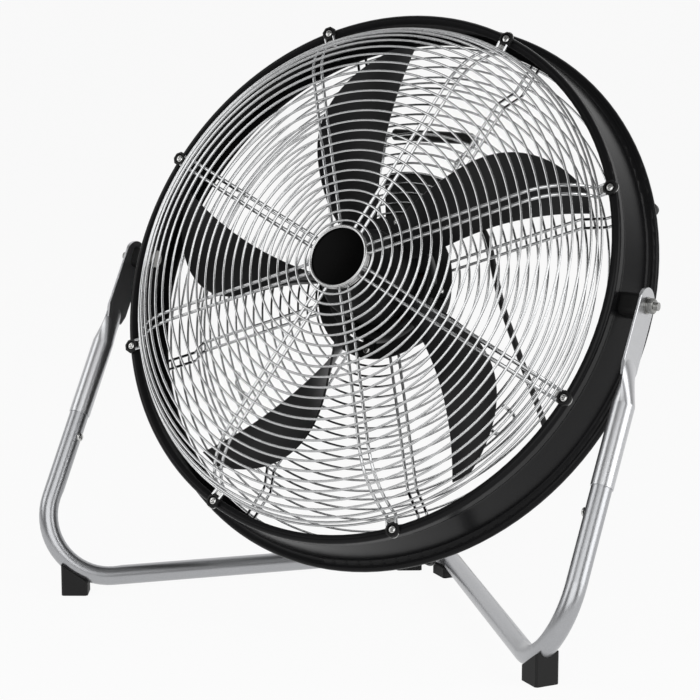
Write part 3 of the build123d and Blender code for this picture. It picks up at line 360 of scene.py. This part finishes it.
def split_washer(radius, bore, thick, gap):
    """A spring washer on Z from the origin: one turn of square wire whose ends stand apart."""
    washer = bmesh.new()
    section = ((bore, 0), (radius, 0), (radius, thick), (bore, thick))
    first = washer.faces.new([washer.verts.new((r, 0, z)) for r, z in section])
    bmesh.ops.spin(
        washer, geom=[first, *first.edges, *first.verts], cent=(0, 0, 0), axis=(0, 0, 1),
        dvec=(0, 0, 0), angle=2 * pi - gap / radius, steps=40,
    )
    bmesh.ops.recalc_face_normals(washer, faces=washer.faces)
    return washer


SPRING_R = 0.0068
SPRING_BORE = 0.0042
SPRING_GAP = 0.0012
spring_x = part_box("pivot_washers")[1].x
spring = split_washer(SPRING_R, SPRING_BORE, nut_x - spring_x, SPRING_GAP)
springs = repeat(spring, on_both_pivots(spring_x))
add_piece(
    "pivot_spring_washers", springs, dull_zinc, "head", "bright_steel", "pivot_lock_washers",
)


# Drum
# One strip of steel sheet, rolled and seamed, curled inwards at its mouth and beaded at the back.
# Its rear mouth is narrowed by a hemmed flange. Satin black enamel with orange peel, duller inside.
enamel, shader, place = new_finish("drum_enamel")
cloud = place.noise(9.0)
out_from_pivot = place.node("VectorMath", {0: place, 1: pivot}, {"operation": "SUBTRACT"})
normal = place.node("TexCoord", {}, out="Normal")
outwards = place.node(
    "VectorMath", {0: normal, 1: out_from_pivot}, {"operation": "DOT_PRODUCT"}, out="Value",
)
inside = outwards.math("LESS_THAN", outwards, 0.0)
fill(shader, {
    "Base Color": cloud.between((0.005, 0.005, 0.0055), (0.008, 0.008, 0.0085)),
    "Roughness": 0.22 + 0.06 * cloud + 0.5 * inside,
    "Specular IOR Level": 0.12,
    "Normal": place.noise(380.0).bump(0.00002, 0.7),
})
dress(enamel, "drum")
motor_axis = Vector(joints["fan_spin"]["axis"]).normalized()
head_right = Vector((1, 0, 0))
head_up = motor_axis.cross(head_right)
head_sides = Matrix((head_right, head_up, motor_axis)).transposed().to_4x4()
HEAD = Matrix.Translation(pivot) @ head_sides


def on_head(node):
    """Lowest and highest place of a CAD node along the motor axis."""
    along = [(v.co - pivot).dot(motor_axis) for v in frame["nodes"][node].data.vertices]
    return min(along), max(along)


FLANGE_R = 0.2845
MOUTH_R = 0.2700
HEM = 0.0035
SHEET = 0.0010
FLANGE_INSET = 0.0002
flange_back = on_head("drum")[0] + FLANGE_INSET
flange_line = [
    (FLANGE_R, flange_back), (MOUTH_R, flange_back), (MOUTH_R, flange_back + HEM),
    (MOUTH_R + SHEET, flange_back + HEM), (MOUTH_R + SHEET, flange_back + SHEET),
    (FLANGE_R, flange_back + SHEET), (FLANGE_R, flange_back),
]
flange = lathe(flange_line, steps=144)
bmesh.ops.transform(flange, matrix=HEAD, verts=flange.verts)
add_piece("drum_rear_flange", flange, enamel, "head", "drum_black")


# Wire guards
# Rings and paired spokes of drawn steel wire, spot welded where they cross, then nickel and
# chrome plated. The rear guard is joggled forwards inside its rim and carries the motor.
chrome, shader, place = new_finish("chrome_wire")
haze = place.noise(120.0)
fill(shader, {
    "Base Color": haze.between((0.54, 0.545, 0.55), (0.64, 0.645, 0.65)),
    "Metallic": 1.0,
    "Roughness": 0.07 + 0.06 * haze,
    "Normal": place.noise(700.0).bump(0.00002),
})
dress(chrome, "front_guard", "front_guard_rings")
dress(chrome, "rear_guard", "rear_guard_rings", "rear_guard_edge")


# Guard clamps
# At the front an eight-sided black cap on a steel plate holds down the ends of each pair of spokes,
# at the back a moulded clamp hooks over the outermost ring. One screw fixes each to the drum.
clamp_black = moulded("clamp_plastic", (0.005, 0.005, 0.005), (0.009, 0.009, 0.009), 0.32, 1900.0)
dress(clamp_black, "rear_clips")
dress(zinc, "front_clip_plates")


def round_the_axis(angles, radius, level, facing_way):
    """Places in a circle round the motor axis, with Z along it or against it."""
    spots = [HEAD @ Vector((radius * cos(a), radius * sin(a), level)) for a in angles]
    return [facing(spot, facing_way * motor_axis) for spot in spots]


CLAMP_R = 0.2712
REAR_CLAMP_R = 0.2862
CLAMP_HEAD = (0.0040, 0.0025)
CAP_R = 0.0078
CAP_RISE = 0.0028
CAP_BORE = 0.0049
CAP_FLOOR = 0.0006
CAP_DRAFT = 0.96
CAP_EDGE = 0.0007
clamp_angles = [(k + 0.5) * pi / 4 for k in range(8)]
lip_front, plate_top = on_head("front_clip_plates")
cap = bmesh.new()
bmesh.ops.create_cone(
    cap, cap_ends=True, segments=8, radius1=CAP_R, radius2=CAP_DRAFT * CAP_R, depth=CAP_RISE,
)
bmesh.ops.translate(cap, verts=cap.verts, vec=(0, 0, CAP_RISE / 2))
rim = [e for e in cap.edges if all(v.co.z > CAP_RISE / 2 for v in e.verts)]
bmesh.ops.bevel(
    cap, geom=rim, offset=CAP_EDGE, offset_type="OFFSET", segments=3, profile=0.5,
    affect="EDGES", material=-1,
)
bore_top = 2 * CAP_RISE
bore_line = [(0, CAP_FLOOR), (CAP_BORE, CAP_FLOOR), (CAP_BORE, bore_top), (0, bore_top)]
bore = lathe(bore_line, steps=32)
cap_places = round_the_axis(clamp_angles, CLAMP_R, plate_top, 1)
caps = repeat(carve(cap, bore, "DIFFERENCE"), cap_places)
add_piece("front_clamp_caps", caps, clamp_black, "head", "clip_black", "front_clips")

SPOKE_R = 0.0016
PAIR_SPACING = 0.0095
SPOKE_END = (0.2558, 0.0009)
UNDER_CAP = (0.2665, 0.0024)
spoke_ends = bmesh.new()
for angle in clamp_angles:
    for offset in (-PAIR_SPACING / 2, PAIR_SPACING / 2):
        swing = HEAD @ Matrix.Rotation(angle, 4, "Z")
        start = swing @ Vector((SPOKE_END[0], offset, lip_front + SPOKE_END[1]))
        end = swing @ Vector((UNDER_CAP[0], offset, lip_front + UNDER_CAP[1]))
        bmesh.ops.create_cone(
            spoke_ends, cap_ends=True, segments=12, radius1=SPOKE_R, radius2=SPOKE_R,
            depth=(end - start).length, matrix=facing((start + end) / 2, end - start),
        )
add_piece("front_spoke_ends", spoke_ends, chrome, "head", "guard_chrome")


def ring_of_screws(name, node, angles, radius, seat, facing_way):
    """Screw heads in a circle round the motor axis, in place of a CAD node's screws."""
    heads = repeat(pan_head(*CLAMP_HEAD), round_the_axis(angles, radius, seat, facing_way))
    add_piece(name, heads, zinc, "head", "bright_steel", node)


front_seat = plate_top + CAP_FLOOR
rear_seat = on_head("rear_clip_screws")[0] + CLAMP_HEAD[1]
ring_of_screws(
    "front_clamp_screws", "front_clip_screws", clamp_angles, CLAMP_R, front_seat, 1,
)
ring_of_screws(
    "rear_clamp_screws", "rear_clip_screws", clamp_angles, REAR_CLAMP_R, rear_seat, -1,
)


# Badge
# A bare domed plate in a bright trim ring, studded through the middle of the guard to a disc
# behind the spokes. The plate is gloss black.
trim, shader, place = new_finish("badge_trim")
haze = place.noise(60.0)
fill(shader, {
    "Base Color": haze.between((0.50, 0.50, 0.50), (0.58, 0.58, 0.58)),
    "Metallic": 1.0,
    "Roughness": 0.22 + 0.08 * haze,
})
gloss, shader, place = new_finish("badge_gloss")
wave = place.noise(50.0)
fill(shader, {
    "Base Color": wave.between((0.0006, 0.0006, 0.0006), (0.0012, 0.0012, 0.0012)),
    "Roughness": 0.22 + 0.06 * wave,
    "Specular IOR Level": 0.03,
})
BADGE_FACE_R = 0.0292
BADGE_DOME = 0.0012
BADGE_RIM = 0.0025
BADGE_STUD_R = 0.0080
DOME_STEPS = 12
stud_low, dome_top = on_head("badge_plate")
face_back = dome_top - BADGE_DOME - BADGE_RIM
face_line = [
    (0, stud_low), (BADGE_STUD_R, stud_low), (BADGE_STUD_R, face_back), (BADGE_FACE_R, face_back),
]
for k in range(DOME_STEPS):
    share = 1 - k / DOME_STEPS
    face_line.append((BADGE_FACE_R * share, dome_top - BADGE_DOME * share**2))
badge_face = lathe(face_line + [(0, dome_top)], steps=72)
bmesh.ops.transform(badge_face, matrix=HEAD, verts=badge_face.verts)
add_piece("badge_face", badge_face, gloss, "head", "badge_black", "badge_plate")
dress(trim, "badge_ring")
dress(zinc, "badge_backing")


# Motor
# Two pressed steel cups round a laminated core with copper end turns, held by four screwed ears
# to a flat ring that is welded on the rear spokes. The cups are dipped in black.
dipped, shader, place = new_finish("motor_black")
cloud = place.noise(40.0)
fill(shader, {
    "Base Color": cloud.between((0.006, 0.006, 0.006), (0.011, 0.011, 0.011)),
    "Roughness": 0.36 + 0.14 * cloud,
    "Specular IOR Level": 0.2,
    "Normal": place.noise(600.0).bump(0.00005),
})
dress(dipped, "motor_mount_ring", "motor_front_shell", "motor_rear_shell")
core_steel, shader, place = new_finish("core_laminations")
LAMINATION = 0.0005
along = place.node(
    "VectorMath", {0: place, 1: motor_axis}, {"operation": "DOT_PRODUCT"}, out="Value",
)
sheet = along.node("Math", {0: along * (1 / LAMINATION)}, {"operation": "FRACT"})
fill(shader, {
    "Base Color": sheet.between((0.16, 0.16, 0.17), (0.42, 0.42, 0.43)),
    "Metallic": 0.9,
    "Roughness": 0.42,
    "Normal": sheet.bump(0.0001),
})
dress(core_steel, "stator_core", "rotor_core")
copper, shader, place = new_finish("enamelled_copper")
turns = place.noise(1500.0, 0.0)
fill(shader, {
    "Base Color": turns.between((0.02, 0.009, 0.005), (0.06, 0.024, 0.011)),
    "Metallic": 0.8,
    "Roughness": 0.3 + 0.2 * turns,
    "Normal": turns.bump(0.0003),
})
dress(copper, "stator_winding")
dress(zinc, "front_bearing", "rear_bearing", "motor_shaft", "hub_nut")
EAR_R = 0.068
ear_angles = [k * pi / 2 for k in range(4)]
ear_seat = on_head("motor_screws")[1] - CLAMP_HEAD[1]
ring_of_screws("motor_ear_screws", "motor_screws", ear_angles, EAR_R, ear_seat, 1)


# Blades
# Five swept and twisted blades on a hub that is locked to the shaft by a nut.
# Satin black, with a faint cloudiness in its sheen.
blade_black, shader, place = new_finish("blade_satin")
cloud = place.noise(18.0)
fill(shader, {
    "Base Color": cloud.between((0.008, 0.008, 0.0085), (0.013, 0.013, 0.0135)),
    "Roughness": 0.36 + 0.12 * cloud,
    "Specular IOR Level": 0.2,
    "Normal": place.noise(900.0).bump(0.00003),
})
dress(blade_black, "blade_set")


# Switch box
# A moulded box behind the guard, above the motor, closed by a cover on the guard's side. It holds
# the speed switch and the motor's capacitor, and the knob stands on its back.
box_black = moulded("box_plastic", (0.008, 0.008, 0.008), (0.013, 0.013, 0.013), 0.45, 1700.0)
knob_black = moulded("knob_plastic", (0.014, 0.014, 0.014), (0.022, 0.022, 0.022), 0.38, 1900.0)
case_grey = moulded("capacitor_case", (0.30, 0.30, 0.31), (0.36, 0.36, 0.37), 0.4, 1500.0)
dress(box_black, "control_box", "control_box_cover")
dress(knob_black, "speed_knob", "speed_switch")
dress(case_grey, "capacitor")
ink = moulded("dial_ink", (0.62, 0.62, 0.60), (0.70, 0.70, 0.68), 0.5, 2000.0)
knob_place = Vector(joints["knob_turn"]["pos_m"])
INK_THICK = 0.00008
TICK_SIZE = (0.0009, 0.0030, INK_THICK)
TICK_R = 0.0167
NUMERAL_R = 0.0218
NUMERAL_SIZE = 0.0056
POINTER_SIZE = (0.0013, 0.0085, INK_THICK)
POINTER_R = 0.0068
SETTING_STEP = radians(45)


def from_behind(level):
    """The frame of a face of the switch box that looks backwards, centred on the knob's axis."""
    spot = knob_place + motor_axis * (level - (knob_place - pivot).dot(motor_axis))
    sides = Matrix((-head_right, head_up, -motor_axis)).transposed().to_4x4()
    return Matrix.Translation(spot) @ sides


def printed_bar(shape, size, place):
    bar = bmesh.ops.create_cube(shape, size=1)["verts"]
    bmesh.ops.scale(shape, verts=bar, vec=size)
    bmesh.ops.transform(shape, verts=bar, matrix=place)


def printed_numeral(shape, text, place):
    letter = bpy.data.curves.new("numeral", "FONT")
    letter.body = text
    letter.size = NUMERAL_SIZE
    letter.align_x = letter.align_y = "CENTER"
    letter.extrude = INK_THICK / 2
    letter.resolution_u = 3
    carrier = bpy.data.objects.new("numeral", letter)
    scene.collection.objects.link(carrier)
    flat = made_mesh(carrier)
    bpy.data.objects.remove(carrier)
    start = len(shape.verts)
    shape.from_mesh(flat)
    shape.verts.ensure_lookup_table()
    bmesh.ops.transform(shape, verts=shape.verts[start:], matrix=place)


dial = bmesh.new()
back_face = from_behind(on_head("control_box")[0])
for setting in range(4):
    swing = Matrix.Rotation(SETTING_STEP * setting, 4, "Z")
    printed_bar(dial, TICK_SIZE, back_face @ swing @ Matrix.Translation((0, TICK_R, 0)))
    spot = swing @ Vector((0, NUMERAL_R, 0))
    printed_numeral(dial, str(setting), back_face @ Matrix.Translation(spot))
add_piece("dial_print", dial, ink, "head", "box_black")
pointer = bmesh.new()
knob_face = from_behind(on_head("speed_knob")[0])
printed_bar(pointer, POINTER_SIZE, knob_face @ Matrix.Translation((0, POINTER_R, 0)))
add_piece("knob_pointer", pointer, ink, "knob", "knob_black")


# Handle and cord hooks
# Bent from plated wire and welded to the rings of the rear guard. A plastic sleeve on the handle
# is the grip.
grip_black = moulded("grip_plastic", (0.008, 0.008, 0.008), (0.013, 0.013, 0.013), 0.4, 1400.0)
dress(chrome, "handle_wire", "cord_hooks")
dress(grip_black, "handle_grip")


# Mains cord
# A round black flex leaves the switch box through a ribbed sleeve, falls behind the fan to the
# floor, and the rest of it is wound in a tied coil behind the stand with its plug beside it.
CORD_ROUTE = [
    (0.04983, 0.09037, 0.39198),
    (0.06260, 0.08878, 0.38860),
    (0.07520, 0.08848, 0.37900),
    (0.08300, 0.09008, 0.36520),
    (0.08640, 0.09508, 0.33700),
    (0.09100, 0.10358, 0.29900),
    (0.09900, 0.11608, 0.26200),
    (0.10650, 0.13308, 0.22000),
    (0.11150, 0.15708, 0.17600),
    (0.10950, 0.18808, 0.13400),
    (0.09650, 0.22008, 0.09800),
    (0.07500, 0.24758, 0.06900),
    (0.04900, 0.26308, 0.04600),
    (0.02400, 0.26608, 0.02850),
    (0.00300, 0.25758, 0.01550),
    (-0.00860, 0.24058, 0.00760),
    (-0.01090, 0.22058, 0.00500),
    (-0.01090, 0.20408, 0.00500),
]
CORD_OD = 0.0068
COIL_MIDDLE = (-0.0540, 0.19728)
COIL_ENDS = [0.0431, 0.03945, 0.0358, 0.03215, 0.0285, 0.02365]
COIL_LAYERS = (0.0050, 0.0123)
COIL_STEPS = 12
COIL_CORNER = (-0.0971, 0.21592, 0.0123)
PLUG_END = (-0.06129, 0.25173, 0.0123)
coil_ends = [(r, COIL_LAYERS[0]) for r in COIL_ENDS]
coil_ends += [(r, COIL_LAYERS[1]) for r in reversed(COIL_ENDS)]
cord_points = list(CORD_ROUTE)
side = 1
for (r0, z0), (r1, z1) in zip(coil_ends, coil_ends[1:]):
    middle_x = COIL_MIDDLE[0] + side * (r0 - r1) / 2
    radius = (r0 + r1) / 2
    for step in range(COIL_STEPS):
        share = step / COIL_STEPS
        turn = pi * share
        cord_points.append((
            middle_x + side * radius * cos(turn),
            COIL_MIDDLE[1] - side * radius * sin(turn),
            z0 + share * (z1 - z0),
        ))
    side = -side
coil_out = (COIL_MIDDLE[0] - COIL_ENDS[0], COIL_MIDDLE[1], COIL_LAYERS[1])
cord_points += [coil_out, COIL_CORNER, PLUG_END]


def spline_curve(name, points):
    """A smooth open NURBS line over its control points."""
    curve = bpy.data.curves.new(name, "CURVE")
    curve.dimensions = "3D"
    curve.resolution_u = 4
    spline = curve.splines.new("NURBS")
    spline.points.add(len(points) - 1)
    for point, place in zip(spline.points, points):
        point.co = (*place, 1)
    spline.order_u = 3
    spline.use_endpoint_u = True
    line = bpy.data.objects.new(name, curve)
    scene.collection.objects.link(line)
    return line


line = spline_curve("cord_line", cord_points)
cord_path = [tuple(v.co) for v in made_mesh(line).vertices]
line.data.bevel_depth = CORD_OD / 2
line.data.bevel_resolution = 4
line.data.use_fill_caps = True
bpy.context.view_layer.update()
flex_mesh = made_mesh(line)
bpy.data.objects.remove(line)
flex, shader, place = new_finish("cord_flex")
cloud = place.noise(60.0)
fill(shader, {
    "Base Color": cloud.between((0.007, 0.007, 0.007), (0.012, 0.012, 0.012)),
    "Roughness": 0.38 + 0.14 * cloud,
    "Specular IOR Level": 0.2,
    "Normal": place.noise(1400.0).bump(0.00004),
})
flex_mesh.materials.clear()
flex_mesh.materials.append(flex)
flex_mesh.shade_smooth()
mains_cord = bpy.data.objects.new("mains_cord", flex_mesh)
scene.collection.objects.link(mains_cord)
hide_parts("power_cord", "cord_coil")
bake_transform(mains_cord)
dress(flex, "cord_relief")
strap = moulded("tie_strap", (0.014, 0.014, 0.014), (0.030, 0.030, 0.030), 0.75, 2600.0)
dress(strap, "cord_tie")
plug_black = moulded("plug_rubber", (0.012, 0.012, 0.012), (0.020, 0.020, 0.020), 0.42, 1600.0)
dress(plug_black, "plug")
brass, shader, place = new_finish("pin_brass")
haze = place.noise(500.0)
fill(shader, {
    "Base Color": haze.between((0.55, 0.40, 0.16), (0.72, 0.55, 0.26)),
    "Metallic": 1.0,
    "Roughness": 0.2 + 0.15 * haze,
})
dress(brass, "plug_pins")


# Studio
# A plain pale floor in a dim room with three soft lamps, and a camera where the photograph's stood.
# The background is white to the camera and in the metal, and the floor keeps a faint shadow.
FLOOR_R = 40.0
WHITE_SHARE = 0.93
floor_shape = bmesh.new()
bmesh.ops.create_circle(floor_shape, cap_ends=True, segments=64, radius=FLOOR_R)
floor_mesh = bpy.data.meshes.new("floor")
floor_shape.to_mesh(floor_mesh)
floor_shape.free()
floor = bpy.data.objects.new("floor", floor_mesh)
scene.collection.objects.link(floor)
pale, shader, _ = new_finish("pale_floor")
fill(shader, {"Base Color": (0.88, 0.88, 0.88, 1), "Roughness": 0.9})


def seen_rays(tree):
    """The rays that come from the camera, and those that come off metal or through glass."""
    rays = tree.nodes.new("ShaderNodeLightPath").outputs
    glossy = Tone(tree, rays["Is Glossy Ray"]) + Tone(tree, rays["Is Transmission Ray"])
    return Tone(tree, rays["Is Camera Ray"]), glossy


tree = pale.node_tree
camera_ray, glossy_ray = seen_rays(tree)
white = tree.nodes.new("ShaderNodeEmission")
mixed = tree.nodes.new("ShaderNodeMixShader")
tree.links.new((WHITE_SHARE * (camera_ray + glossy_ray)).socket, mixed.inputs[0])
tree.links.new(shader.outputs[0], mixed.inputs[1])
tree.links.new(white.outputs[0], mixed.inputs[2])
tree.links.new(mixed.outputs[0], tree.nodes["Material Output"].inputs["Surface"])
floor_mesh.materials.append(pale)

world = bpy.data.worlds.new("studio")
scene.world = world
world.use_nodes = True
tree = world.node_tree
camera_ray, glossy_ray = seen_rays(tree)
ray = Tone(tree, tree.nodes.new("ShaderNodeTexCoord").outputs["Generated"])
BACKDROP = (-0.52, 0.85, 0.0)
ROOM_LIGHT = 0.2
ahead = ray.node("VectorMath", {0: ray, 1: BACKDROP}, {"operation": "DOT_PRODUCT"}, out="Value")
backdrop = ahead.node("MapRange", {"Value": ahead, "From Min": 0.2, "From Max": 0.7})
level = ROOM_LIGHT + (1 - ROOM_LIGHT) * (camera_ray + glossy_ray * backdrop)
tree.nodes["Background"].inputs["Color"].default_value = (1, 1, 1, 1)
tree.links.new(level.socket, tree.nodes["Background"].inputs["Strength"])

LAMP_TARGET = Vector((0.0, 0.0, 0.3))


def softbox(name, place, size, watts):
    lamp = bpy.data.lights.new(name, "AREA")
    lamp.shape = "RECTANGLE"
    lamp.size, lamp.size_y = size
    lamp.energy = watts
    box = bpy.data.objects.new(name, lamp)
    box.location = place
    box.rotation_euler = (LAMP_TARGET - Vector(place)).to_track_quat("-Z", "Y").to_euler()
    scene.collection.objects.link(box)


softbox("key", (2.6, 0.2, 1.1), (1.8, 2.2), 32.0)
softbox("fill", (-2.2, -1.6, 1.6), (1.6, 1.8), 18.0)
softbox("front", (0.9, -2.2, 1.3), (2.4, 1.8), 26.0)

CAMERA_PLACE = (1.1881, -1.95162, 0.6865)
CAMERA_RIGHT = (0.849, 0.5284, 0.0)
CAMERA_UP = (-0.0972, 0.1562, 0.983)
CAMERA_LENS = 118.57
CAMERA_SENSOR = 36.0
camera_data = bpy.data.cameras.new("camera")
camera_data.lens = CAMERA_LENS
camera_data.sensor_width = CAMERA_SENSOR
camera = bpy.data.objects.new("camera", camera_data)
right = Vector(CAMERA_RIGHT).normalized()
backwards = right.cross(Vector(CAMERA_UP)).normalized()
up = backwards.cross(right)
camera_turn = Matrix((right, up, backwards)).transposed().to_4x4()
camera.matrix_world = Matrix.Translation(CAMERA_PLACE) @ camera_turn
scene.collection.objects.link(camera)
scene.camera = camera
scene.view_settings.view_transform = "Standard"
